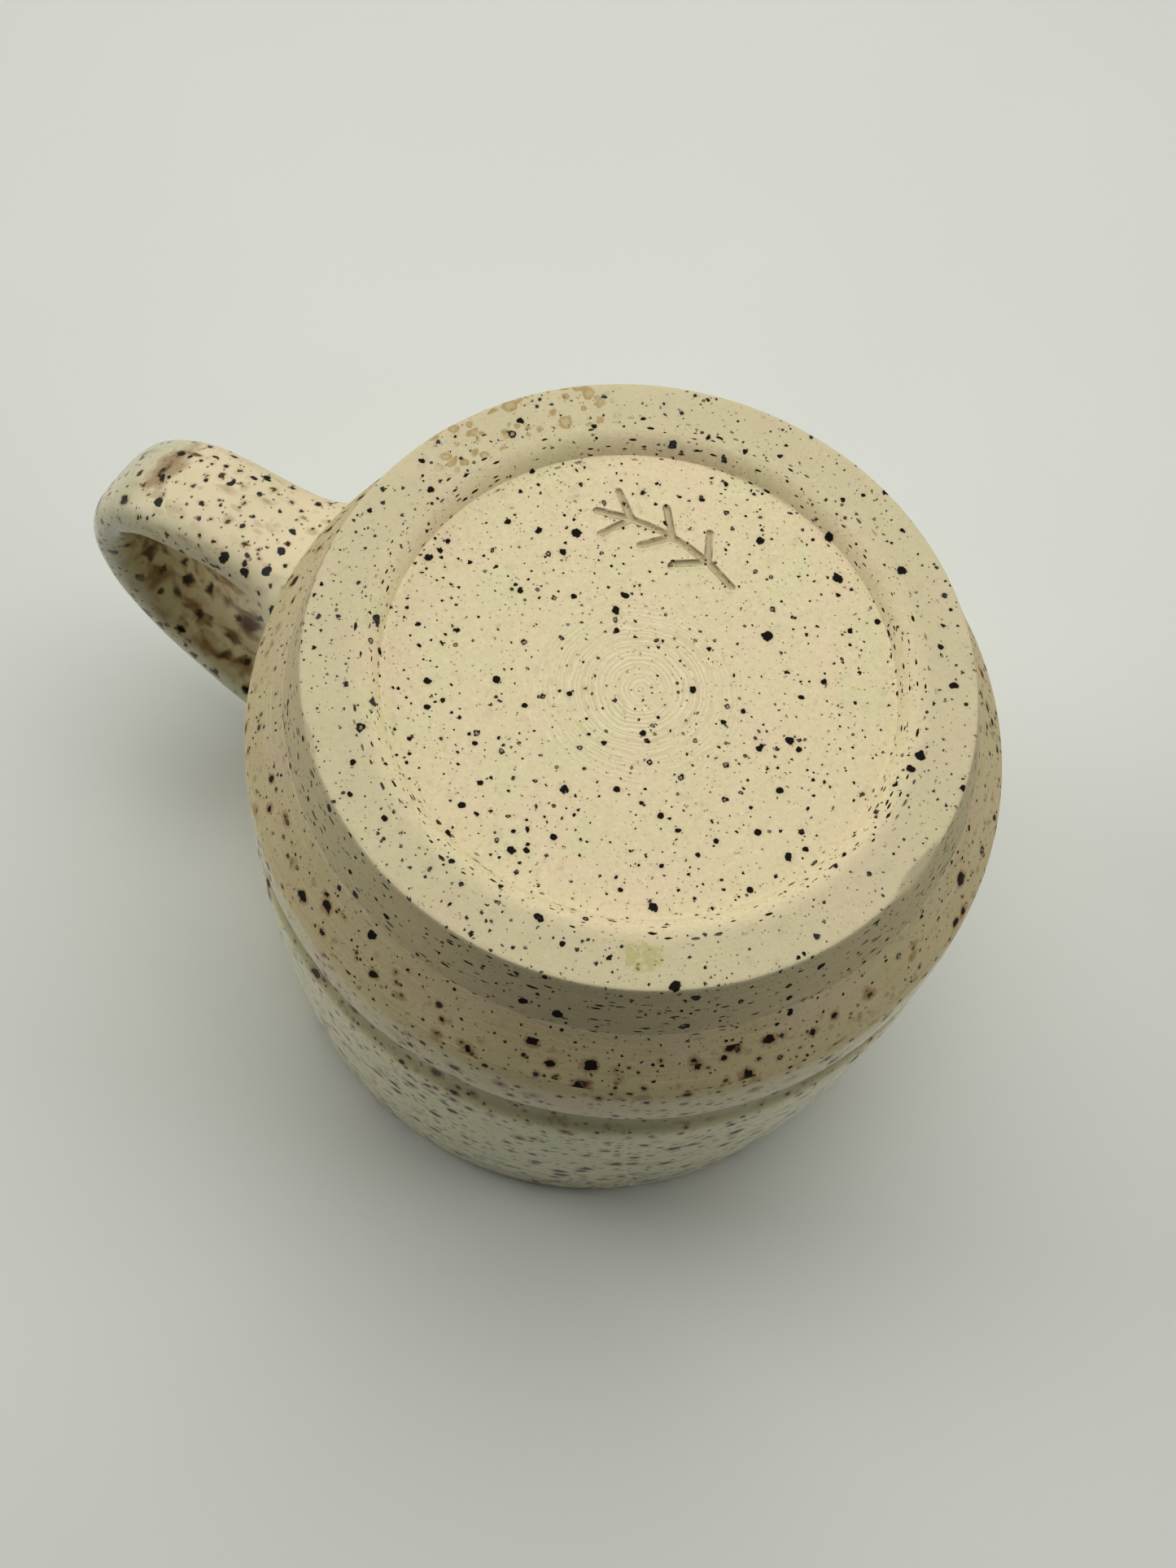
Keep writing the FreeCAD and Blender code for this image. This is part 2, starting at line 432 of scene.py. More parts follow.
def glaze_coats():
    lip_out = (lip_radius + lip_half, lip_height)
    lip_out_clay = (lip_radius + lip_half - coat, lip_height)
    lip_in = (lip_radius - lip_half, lip_height)
    lip_in_clay = (lip_radius - lip_half + coat, lip_height)
    outer = turned_coat(
        "outer_glaze_coat",
        belly_outline(coat, 7) + wall_outline(coat, 24) + [lip_out],
        belly_outline(0, 2) + wall_outline(0, 3) + [lip_out_clay],
        "outer_glaze",
    )
    rim = turned_coat(
        "rim_glaze_coat",
        lip_outline(coat, 16) + [lip_in],
        lip_outline(0, 6) + [lip_in_clay],
        "rim_glaze",
    )
    liner = turned_piece(
        "liner_glaze_coat", liner_outline(coat, 24, 18, 40) + liner_outline(0, 4, 6, 3)[::-1], True,
    )
    finish_mesh(liner, 50)
    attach(liner, "root")
    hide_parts("liner_glaze")
    return outer, rim, liner


# --- the handle ---------------------------------------------------------------------------

strap_knots = (   # middle line of the strap in the XZ plane, root to root
    (-44.6 * MM, 55.5 * MM),
    (-55.4 * MM, 57.3 * MM),
    (-68.0 * MM, 56.3 * MM),
    (-77.0 * MM, 50.8 * MM),
    (-80.15 * MM, 41.9 * MM),
    (-77.6 * MM, 32.1 * MM),
    (-69.6 * MM, 24.4 * MM),
    (-57.8 * MM, 19.0 * MM),
    (-44.6 * MM, 16.2 * MM),
)
strap_half_width = (8.35 * MM, 7.85 * MM)       # over the glaze, at the roots and in the middle
strap_half_thickness = (4.15 * MM, 3.65 * MM)
strap_roundness = 2.6
strap_joint_flare = 2.6 * MM
strap_joint_reach = 3.4 * MM
STRAP_RINGS = 150
STRAP_SIDES = 72


def strap_line():
    """Even steps along the strap's middle line, its direction at each, and its whole length."""
    path = flowing(strap_knots, 40) + [strap_knots[-1]]
    lengths = [0.0]
    for here, there in zip(path, path[1:]):
        lengths.append(lengths[-1] + math.dist(here, there))
    steps = []
    index = 0
    for ring in range(STRAP_RINGS + 1):
        wanted = lengths[-1] * ring / STRAP_RINGS
        while index < len(path) - 2 and lengths[index + 1] < wanted:
            index += 1
        share = (wanted - lengths[index]) / (lengths[index + 1] - lengths[index])
        (here_x, here_z), (there_x, there_z) = path[index], path[index + 1]
        x = here_x + (there_x - here_x) * share
        z = here_z + (there_z - here_z) * share
        steps.append(Vector((x, 0, z)))
    directions = []
    for ring in range(STRAP_RINGS + 1):
        before = steps[max(ring - 3, 0)]
        after = steps[min(ring + 3, STRAP_RINGS)]
        directions.append((after - before).normalized())
    return steps, directions, lengths[-1]


def handle_coat():
    """The glazed strap: a ball of clay drawn out into a rod, flattened and led round the loop."""
    clear_selection()
    bpy.ops.mesh.primitive_uv_sphere_add(segments=STRAP_SIDES, ring_count=STRAP_RINGS, radius=1)
    piece = bpy.context.object
    piece.name = "handle_glaze_coat"

    steps, directions, length = strap_line()
    across = Vector((0, 1, 0))
    wall_gap = ridge_radius + strap_knots[0][0]
    strap_places = []

    def lead(place):
        """Puts a point of the ball on the strap: its ring sets how far along, its turn which side."""
        turn = math.acos(min(max(place.z, -1), 1))
        ring = round(turn / math.pi * STRAP_RINGS)
        girth = max(math.sin(turn), 1e-9)
        on_ring = Vector((place.x, place.y)) / girth if 0 < ring < STRAP_RINGS else Vector((0, 0))
        distance = length * ring / STRAP_RINGS
        end_share = abs(2 * ring / STRAP_RINGS - 1) ** 2
        width = strap_half_width[1] + (strap_half_width[0] - strap_half_width[1]) * end_share
        thickness = strap_half_thickness[1]
        thickness += (strap_half_thickness[0] - strap_half_thickness[1]) * end_share
        from_wall = max(min(distance, length - distance) - wall_gap, 0)
        flare = strap_joint_flare * math.exp(-(from_wall / strap_joint_reach) ** 1.5)
        outward = directions[ring].cross(across)
        wide = math.copysign(abs(on_ring.x) ** (2 / strap_roundness), on_ring.x) * (width + flare)
        thick = math.copysign(abs(on_ring.y) ** (2 / strap_roundness), on_ring.y) * (thickness + flare)
        strap_places.append((distance, wide, thick))
        spot = steps[ring] + across * wide + outward * thick
        pull = noise.noise(Vector((on_ring.x * 2.2, on_ring.y * 2.2, distance / (16 * MM)))) * 0.14 * MM
        dent = noise.noise(spot / (8 * MM)) * 0.20 * MM
        side = (across * on_ring.x + outward * on_ring.y).normalized()
        return spot + side * (pull + dent)

    reshape(piece, lead)
    places = piece.data.attributes.new("strap_place", "FLOAT_VECTOR", "POINT")
    for slot, place in zip(places.data, strap_places):
        slot.vector = place
    finish_mesh(piece, 60)
    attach(piece, "root")
    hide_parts("handle_glaze")
    return piece


# --- shader maths -------------------------------------------------------------------------

class Value:
    """A number in a material. Arithmetic on it adds Math nodes."""

    def __init__(self, finish, socket):
        self.finish = finish
        self.socket = socket

    def _math(self, operation, first, second=None, clamp=False):
        inputs = {0: first} if second is None else {0: first, 1: second}
        node = self.finish.node("ShaderNodeMath", {"operation": operation, "use_clamp": clamp}, inputs)
        return Value(self.finish, node.outputs[0])

    def __add__(self, other):
        return self._math("ADD", self, other)

    __radd__ = __add__

    def __sub__(self, other):
        return self._math("SUBTRACT", self, other)

    def __rsub__(self, other):
        return self._math("SUBTRACT", other, self)

    def __mul__(self, other):
        return self._math("MULTIPLY", self, other)

    __rmul__ = __mul__

    def __truediv__(self, other):
        return self._math("DIVIDE", self, other)

    def __pow__(self, other):
        return self._math("POWER", self, other)

    def __lt__(self, other):
        return self._math("LESS_THAN", self, other)

    def __gt__(self, other):
        return self._math("GREATER_THAN", self, other)

    def clamped(self):
        return self._math("ADD", self, 0.0, clamp=True)

    def between(self, low, high):
        """0 at low, 1 at high, eased in between."""
        node = self.finish.node(
            "ShaderNodeMapRange", {"interpolation_type": "SMOOTHSTEP"},
            {"Value": self, "From Min": low, "From Max": high},
        )
        return Value(self.finish, node.outputs[0])

    def wave(self):
        """Swings between 0 and 1 once for every 2 pi."""
        return self._math("SINE", self) * 0.5 + 0.5

    def larger(self, other):
        return self._math("MAXIMUM", self, other)


class Finish:
    """One material: its nodes are all made by node(), settings first, then values and links."""

    def __init__(self, name):
        self.material = bpy.data.materials.new(name)
        self.material.use_nodes = True
        self.tree = self.material.node_tree
        self.shader = self.tree.nodes["Principled BSDF"]
        place = self.node("ShaderNodeTexCoord").outputs["Object"]
        self.place, (self.x, self.y, self.z) = self.in_millimetres(place)
        self.radius = (self.x * self.x + self.y * self.y) ** 0.5

    def node(self, kind, settings=None, inputs=None):
        node = self.tree.nodes.new(kind)
        for key, value in (settings or {}).items():
            setattr(node, key, value)
        for key, value in (inputs or {}).items():
            self.feed(node.inputs[key], value)
        return node

    def feed(self, socket, value):
        if isinstance(value, Value):
            value = value.socket
        if isinstance(value, bpy.types.NodeSocket):
            self.tree.links.new(value, socket)
        elif hasattr(value, "__len__") and len(value) == 3 and socket.type == "RGBA":
            socket.default_value = (*value, 1)
        else:
            socket.default_value = value

    def in_millimetres(self, place):
        """A place given in metres, as one vector in millimetres and as its three numbers."""
        scaled = self.node(
            "ShaderNodeVectorMath", {"operation": "SCALE"}, {0: place, "Scale": 1 / MM},
        ).outputs[0]
        parts = self.node("ShaderNodeSeparateXYZ", {}, {0: scaled})
        return scaled, tuple(Value(self, parts.outputs[k]) for k in range(3))

    def strap_place(self):
        """Millimetres along the strap, across it, and from its middle towards the hand hole."""
        carried = self.node("ShaderNodeAttribute", {"attribute_name": "strap_place"})
        return self.in_millimetres(carried.outputs["Vector"])[1]

    def carried(self, name):
        """A number that the mesh carries at each point."""
        return Value(self, self.node("ShaderNodeAttribute", {"attribute_name": name}).outputs["Fac"])

    def vector(self, x, y, z):
        return self.node("ShaderNodeCombineXYZ", {}, {0: x, 1: y, 2: z}).outputs[0]

    def noise(self, size, seed, detail=2.0, roughness=0.5, place=None):
        """Cloudy noise from 0 to 1 whose patches are about size millimetres across."""
        node = self.node(
            "ShaderNodeTexNoise", {"noise_dimensions": "4D"},
            {"Vector": self.place if place is None else place, "W": seed, "Scale": 1 / size,
             "Detail": detail, "Roughness": roughness},
        )
        return Value(self, node.outputs[0])

    def mix(self, share, first, second, blend="MIX"):
        node = self.node(
            "ShaderNodeMix", {"data_type": "RGBA", "blend_type": blend},
            {"Factor": share, 6: first, 7: second},
        )
        return node.outputs[2]

    def bump(self, height, distance):
        """Height is in millimetres; distance turns it into metres."""
        return self.node(
            "ShaderNodeBump", {}, {"Height": height, "Distance": distance, "Strength": 1.0},
        ).outputs[0]

    def set(self, **inputs):
        names = {
            "colour": "Base Color", "roughness": "Roughness", "normal": "Normal",
            "coat": "Coat Weight", "coat_roughness": "Coat Roughness", "ior": "IOR",
            "specular": "Specular IOR Level",
        }
        for key, value in inputs.items():
            self.feed(self.shader.inputs[names[key]], value)


class Specks:
    """Iron specks of one size range, scattered through the clay or glaze. Sizes in millimetres."""

    def __init__(self, finish, spacing, smallest, largest, share, seed, ragged=0.35, place=None):
        source = finish.place if place is None else place
        mapped = finish.node("ShaderNodeMapping", {}, {
            "Vector": source, "Location": (seed, seed * 0.7, seed * 1.3), "Scale": (1 / spacing,) * 3,
        }).outputs[0]
        cell = finish.node(
            "ShaderNodeTexVoronoi", {"voronoi_dimensions": "3D"}, {"Vector": mapped, "Scale": 1.0},
        )
        luck = finish.node("ShaderNodeSeparateColor", {}, {0: cell.outputs["Color"]})
        size_luck, here_luck, tone_luck = (Value(finish, luck.outputs[k]) for k in range(3))
        radius = smallest + (largest - smallest) * size_luck ** 2.0
        wander = finish.noise((smallest + largest) * 0.7, seed, 1.0, 0.5, source) - 0.5
        # distance from the speck's middle, in radii, with a ragged edge
        self.distance = Value(finish, cell.outputs["Distance"]) * spacing / radius
        self.distance = self.distance + wander * (4 * ragged)
        self.here = here_luck < share
        self.tone = tone_luck

    def mask(self, soft=0.14, grow=1.0):
        """1 inside the specks, 0 outside; soft is a share of a speck's radius."""
        return ((grow - self.distance) / soft + 0.5).clamped() * self.here

    def halo(self, reach):
        """Fades from 1 at the speck's edge to 0 at reach radii."""
        return (1 - (self.distance - 1) / (reach - 1)).clamped() * self.here


# --- materials ----------------------------------------------------------------------------

clay_cream = (0.725, 0.628, 0.395)
clay_peach = (0.750, 0.612, 0.412)
clay_green = (0.680, 0.632, 0.375)
# the bands' own greyer green, darkened further as painted shade
upper_bevel_tone_and_shade = (0.90, 0.87, 0.82)
lower_bevel_tone_and_shade = (0.89, 0.85, 0.755)
flush_pink = (0.590, 0.480, 0.325)
iron_black = (0.006, 0.003, 0.001)
# a painted slate-grey sheen on some iron specks
iron_sheen_grey = (0.060, 0.056, 0.054)
iron_brown = (0.110, 0.060, 0.022)
rust = (0.240, 0.115, 0.028)
olive_pool = (0.300, 0.260, 0.115)
sand_pale = (0.88, 0.775, 0.55)
sand_dark = (0.47, 0.38, 0.20)
speck_halo = (0.42, 0.34, 0.22)
speck_pale_middle = (0.36, 0.30, 0.19)
# painted shade on the foot ring, partly a greener clay tone
ring_green_and_shade = (0.48, 0.435, 0.275)
scratch_dark = (0.36, 0.29, 0.16)
scratch_pale = (0.80, 0.72, 0.52)
break_pale = (0.74, 0.63, 0.46)
ring_pale = (0.88, 0.78, 0.57)
ring_dark = (0.54, 0.43, 0.25)
scraped_pale = (0.92, 0.83, 0.62)
scraped_dark = (0.50, 0.39, 0.21)
wash_brown = (0.33, 0.27, 0.14)
wash_edge = (0.10, 0.07, 0.03)
stain_rust = (0.340, 0.210, 0.055)
dab_olive = (0.42, 0.38, 0.11)

# where a finish starts and where it is full, as heights or as distances from the axis in millimetres
foot_top = foot_height / MM
floor_heights = (foot_top - 3.8, foot_top - 3.2)
foot_face_heights = (foot_top - 0.9, foot_top - 0.2)
foot_face_radii = (40.6, 40.2)
bevel_radii = (39.9, 40.3)
ring_shade_radii = (32.0, 35.0)
break_heights = (70.8, 72.2)
flush_start_heights = (66.5, 70.0)
flush_end_heights = (72.0, 71.2)
rust_heights = (70.5, 67.5)
first_band_heights = (70.0, 72.0)
cove_inner_radii = (29.5, 31.0)
cove_outer_radii = (35.5, 34.0)
stain_radii = (33.4, 34.6)
pool_lower_heights = (45.6, 48.6)
pool_upper_heights = (54.2, 53.2)
stain_middle = (-30.3, 20.4)
dab_middle = (18.5, -31.2)

# kinds of speck: spacing, smallest and largest radius, share of places filled, seed, raggedness
clay_dust = (0.60, 0.05, 0.12, 0.85, 3.7, 0.7)
clay_fine = (1.05, 0.10, 0.24, 0.90, 9.1, 0.6)
clay_middle = (1.9, 0.19, 0.40, 0.85, 21.3, 0.5)
clay_large = (3.3, 0.36, 0.66, 0.85, 33.9, 0.42)
clay_drawn = (1.0, 0.12, 0.30, 0.85, 45.0, 0.3)
clay_blots = (3.2, 0.45, 0.85, 0.95, 49.0, 0.40)
rust_stains = (1.8, 0.4, 1.15, 1.0, 87.0, 0.35)
wall_dust = (0.85, 0.07, 0.17, 0.7, 31.0, 0.4)
wall_fine = (1.45, 0.18, 0.40, 0.90, 37.0, 0.4)
wall_large = (2.9, 0.40, 0.88, 0.80, 43.0, 0.35)
liner_fine = (1.9, 0.14, 0.32, 0.85, 137.0, 0.35)
liner_large = (3.6, 0.32, 0.80, 0.85, 143.0, 0.30)
strap_fine = (1.05, 0.11, 0.24, 0.95, 53.0, 0.7)
strap_middle = (1.75, 0.22, 0.48, 0.95, 57.0, 0.65)
strap_large = (3.0, 0.42, 0.88, 0.95, 59.0, 0.60)
strap_drawn = (1.7, 0.22, 0.50, 0.9, 67.0, 0.40)


def clay_colour(finish):
    """Cream clay with peach and greenish clouds and a fine sandy grain."""
    clouds = finish.noise(10.0, 1.0, 3.0).between(0.45, 0.68)
    green = finish.noise(7.0, 4.0, 3.0).between(0.46, 0.70)
    colour = finish.mix(clouds * 0.85, clay_cream, clay_peach)
    colour = finish.mix(green * 0.85, colour, clay_green)
    grain = finish.noise(0.60, 2.0, 4.0, 0.85)
    colour = finish.mix(grain.between(0.50, 0.72) * 0.60, colour, sand_pale)
    return finish.mix(grain.between(0.48, 0.27) * 0.55, colour, sand_dark)


def iron_specks(finish, colour, specks, core_share):
    """Black iron pits, some with a pale middle and some with a painted slate-blue sheen, in faint grey
    halos.
    """
    colour = finish.mix(specks.halo(2.2) * 0.20, colour, speck_halo)
    mottle = finish.noise(0.22, 51.0, 2.0, 0.7)
    # some specks get a painted slate-grey sheen in mottled patches
    sheen_share = (specks.tone > 0.72) * mottle.between(0.35, 0.62)
    dark = finish.mix(sheen_share, iron_black, iron_sheen_grey)
    colour = finish.mix(specks.mask(), colour, dark)
    ring = specks.mask(0.25, 0.48) * (specks.tone < core_share)
    return finish.mix(ring * 0.8, colour, speck_pale_middle)


def bare_clay():
    finish = Finish("bare_speckled_clay")
    colour = clay_colour(finish)
    z = finish.z
    radius = finish.radius
    flat = z.between(*floor_heights)
    bevels = 1 - z.between(*foot_face_heights) * radius.between(*foot_face_radii)
    bevels = bevels * radius.between(*bevel_radii)
    bleeding = z.between(*rust_heights) * bevels

    # the foot ring is darker and greener, alike all the way round: painted shade from the cove's edge
    # out, partly greener clay
    ring = radius.between(*ring_shade_radii) * (0.7 + 0.6 * finish.noise(8.0, 71.0, 2.0))
    colour = finish.mix(ring * 0.47, colour, ring_green_and_shade)
    # both trimmed bands are greyer green and darker, partly own tone, partly painted shade; a pink flush
    # below the break, a pale line on it
    tint = finish.mix(z.between(*break_heights), lower_bevel_tone_and_shade, upper_bevel_tone_and_shade)
    colour = finish.mix(bevels, colour, finish.mix(1.0, colour, tint, "MULTIPLY"))
    scratch = finish.noise(1.0, 61.0, 2.0, 0.6, finish.vector(finish.x * 0.10, finish.y * 0.10, z * 3.2))
    flush = z.between(*flush_start_heights) * z.between(*flush_end_heights)
    flush = flush * finish.noise(9.0, 63.0, 2.0).between(0.42, 0.62)
    colour = finish.mix(flush * bevels * (0.35 + scratch * 0.6), colour, flush_pink)
    colour = finish.mix(bevels * scratch.between(0.54, 0.74) * 0.34, colour, scratch_dark)
    colour = finish.mix(bevels * scratch.between(0.44, 0.26) * 0.32, colour, scratch_pale)
    off_break = z - break_height / MM
    line = (1 - (off_break * off_break) / 0.06).clamped() * bevels
    line = line * finish.noise(3.0, 66.0, 1.0).between(0.3, 0.6)
    colour = finish.mix(line * 0.55, colour, break_pale)

    # pale and dark turning rings on the recessed floor
    off = (finish.x - ring_middle.x / MM, finish.y - ring_middle.y / MM)
    turned = (off[0] * off[0] + off[1] * off[1]) ** 0.5
    rings = finish.noise(1.0, 81.0, 3.0, 0.65, finish.vector(turned * 0.9, 0.0, 0.0))
    patchy = finish.noise(10.0, 83.0, 1.0).between(0.40, 0.65)
    colour = finish.mix(flat * rings.between(0.58, 0.76) * patchy * 0.50, colour, ring_pale)
    colour = finish.mix(flat * rings.between(0.42, 0.28) * patchy * 0.30, colour, ring_dark)
    drift = finish.noise(1.0, 84.0, 1.0, 0.5, finish.vector(turned * 0.8, 0.0, 0.0))
    scraped = (turned * 10.5 + finish.noise(3.0, 85.0, 2.0) * 11.0 + drift * 16.0).wave()
    scraped_zone = flat * turned.between(16.0, 6.0) * finish.noise(2.6, 86.0, 2.0).between(0.30, 0.56)
    colour = finish.mix(scraped.between(0.55, 0.95) * scraped_zone * 0.36, colour, scraped_pale)
    colour = finish.mix(scraped.between(0.40, 0.05) * scraped_zone * 0.28, colour, scraped_dark)

    # the incised strokes hold a brown wash, darkest along their edges
    pressed = finish.carried("pressed")
    colour = finish.mix(pressed.between(0.05, 0.45) * 0.42, colour, wash_brown)
    outline = pressed.between(0.10, 0.30) * pressed.between(0.62, 0.42)
    outline = outline * finish.noise(1.6, 88.0, 2.0).between(0.38, 0.58)
    colour = finish.mix(outline * 0.65, colour, wash_edge)

    # rust ringed stains on one stretch of the foot ring and the bevels beside it
    stain_x, stain_y = finish.x - stain_middle[0], finish.y - stain_middle[1]
    stain_zone = (1 - (stain_x * stain_x + stain_y * stain_y) / 200.0).clamped()
    stain_zone = stain_zone * radius.between(*stain_radii)
    stains = Specks(finish, *rust_stains)
    ring_of_rust = stains.mask(0.35) * (1 - stains.mask(0.5, 0.62) * 0.50)
    colour = finish.mix(ring_of_rust * stain_zone.between(0.05, 0.55) * 0.80, colour, stain_rust)

    # specks: round ones all over, and ones drawn out by the trimming tool on the cove and first band
    dust = Specks(finish, *clay_dust)
    fine = Specks(finish, *clay_fine)
    middle = Specks(finish, *clay_middle)
    large = Specks(finish, *clay_large)
    scale = foot_radius / MM / 2.4
    up_the_cove = (radius + z * (1 - (radius > 38.0) * 2)) * 1.25
    drawn_place = finish.vector(finish.x / radius * scale, finish.y / radius * scale, up_the_cove)
    drawn = Specks(finish, *clay_drawn, drawn_place)
    cove = radius.between(*cove_inner_radii) * radius.between(*cove_outer_radii) * flat
    tooled = (bevels * z.between(*first_band_heights)).larger(cove)
    still = 1 - tooled * 0.75
    colour = finish.mix(dust.mask(0.6) * 0.8, colour, iron_brown)
    colour = iron_specks(finish, colour, fine, 0.30)
    colour = finish.mix(drawn.mask(0.3) * tooled, colour, iron_black)
    middle.here = middle.here * (still > 0.5)
    # towards the glaze the specks bleed rust
    colour = finish.mix(middle.halo(2.2) * bleeding * 0.6, colour, rust)
    colour = iron_specks(finish, colour, middle, 0.40)
    colour = finish.mix(large.halo(1.9) * bleeding * 0.7, colour, rust)
    colour = iron_specks(finish, colour, large, 0.25)
    blots = Specks(finish, *clay_blots)
    blots.here = blots.here * (bleeding > 0.35)
    colour = finish.mix(blots.halo(1.8) * 0.7, colour, rust)
    colour = finish.mix(blots.mask(), colour, iron_black)

    # an olive dab of glaze on the ring
    dab_x, dab_y = finish.x - dab_middle[0], finish.y - dab_middle[1]
    dab_shape = (dab_x * dab_x + dab_y * dab_y) ** 0.5
    dab_shape = dab_shape + (finish.noise(1.5, 92.4, 2.0) - 0.5) * 4.2
    dab = dab_shape.between(2.4, 1.6) * finish.noise(0.6, 93.0, 2.0).between(0.25, 0.60)
    colour = finish.mix(dab * 0.6, colour, dab_olive)

    lines = finish.noise(1.0, 6.0, 2.0, 0.6, finish.vector(turned * 3.4, z * 3.0, finish.x * 0.03))
    lines = lines + scraped * scraped_zone * 0.9
    grain = finish.noise(0.26, 8.0, 2.0, 0.65)
    height = lines * (0.030 + bevels * 0.03) + grain * 0.055
    height = height + middle.mask(0.5) * 0.03 + large.mask(0.4) * 0.04
    finish.set(
        colour=colour, roughness=0.82 - bleeding * 0.20, normal=finish.bump(height, MM), specular=0.15,
    )
    return finish.material


glaze_cream = (0.765, 0.675, 0.410)
glaze_green = (0.680, 0.655, 0.395)
core_black = (0.020, 0.008, 0.001)
core_brown = (0.090, 0.038, 0.008)
groove_run_brown = (0.16, 0.08, 0.02)
wall_dust_brown = (0.15, 0.08, 0.03)
strap_cream = (0.755, 0.640, 0.420)
strap_pale_green = (0.70, 0.625, 0.395)
bend_green = (0.47, 0.47, 0.30)
edge_olive = (0.46, 0.44, 0.28)
inside_olive = (0.42, 0.35, 0.185)
run_brown = (0.150, 0.072, 0.014)
drip_black = (0.040, 0.016, 0.005)
blotch_brown = (0.24, 0.14, 0.055)
blotch_black = (0.030, 0.012, 0.004)
strap_speck_brown = (0.040, 0.020, 0.008)


def glaze_colour(finish):
    clouds = finish.noise(9.0, 11.0, 3.0).between(0.35, 0.65)
    return finish.mix(clouds, glaze_cream, glaze_green)


def bled_specks(finish, colour, specks, halo_share, depth=1.0):
    """Iron bleeding through the glaze: dark cores in rusty halos."""
    colour = finish.mix(specks.halo(2.3) * (halo_share * (0.4 + specks.tone)), colour, rust)
    core = finish.mix(specks.tone.between(0.60, 0.95), core_black, core_brown)
    return finish.mix(specks.mask(0.2) * depth, colour, core)


def wall_glaze_finish():
    finish = Finish("speckled_wall_glaze")
    colour = glaze_colour(finish)
    z = finish.z
    # next to the bare clay the coat is thin and shows the trimmed clay, with the lower band's tone and
    # painted shade
    thin = z.between(ridge_bottom / MM - 2.0, ridge_bottom / MM + 1.0)
    clay_under = finish.mix(1.0, clay_colour(finish), lower_bevel_tone_and_shade, "MULTIPLY")
    colour = finish.mix(thin * 0.92, colour, clay_under)
    # in the groove it pools, olive and uneven
    pooled = z.between(*pool_lower_heights) * z.between(*pool_upper_heights)
    pooled = pooled * (0.50 + 0.65 * finish.noise(5.0, 19.0, 2.0))
    colour = finish.mix(pooled.clamped() * 0.9, colour, olive_pool)
    runs = finish.noise(1.0, 23.0, 2.0, 0.6, finish.vector(finish.x * 0.42, finish.y * 0.42, z * 0.20))
    colour = finish.mix(pooled * runs.between(0.58, 0.74) * 0.8, colour, groove_run_brown)
    dust = Specks(finish, *wall_dust)
    fine = Specks(finish, *wall_fine)
    large = Specks(finish, *wall_large)
    colour = finish.mix(dust.mask(0.7) * 0.75, colour, wall_dust_brown)
    colour = bled_specks(finish, colour, fine, 0.50)
    colour = bled_specks(finish, colour, large, 0.65)
    ripple = finish.noise(3.5, 17.0, 2.0) * 0.05 + finish.noise(0.7, 18.0, 1.0) * 0.006
    wet = z.between(glaze_line / MM - 0.2, glaze_line / MM - 3.6)
    finish.set(
        colour=colour, roughness=0.80 - wet * 0.66 + large.mask(0.3) * wet * 0.25,
        coat=wet * 0.04, coat_roughness=0.05, normal=finish.bump(ripple, MM), specular=0.17,
    )
    return finish.material


def liner_glaze_finish():
    finish = Finish("liner_glaze_finish")
    colour = glaze_colour(finish)
    fine = Specks(finish, *liner_fine)
    large = Specks(finish, *liner_large)
    colour = bled_specks(finish, colour, fine, 0.35)
    colour = bled_specks(finish, colour, large, 0.5)
    ripple = finish.noise(4.0, 17.5, 2.0) * 0.05
    finish.set(
        colour=colour, roughness=0.13 + large.mask(0.3) * 0.12, coat=0.4, coat_roughness=0.05,
        normal=finish.bump(ripple, MM), ior=1.5,
    )
    return finish.material


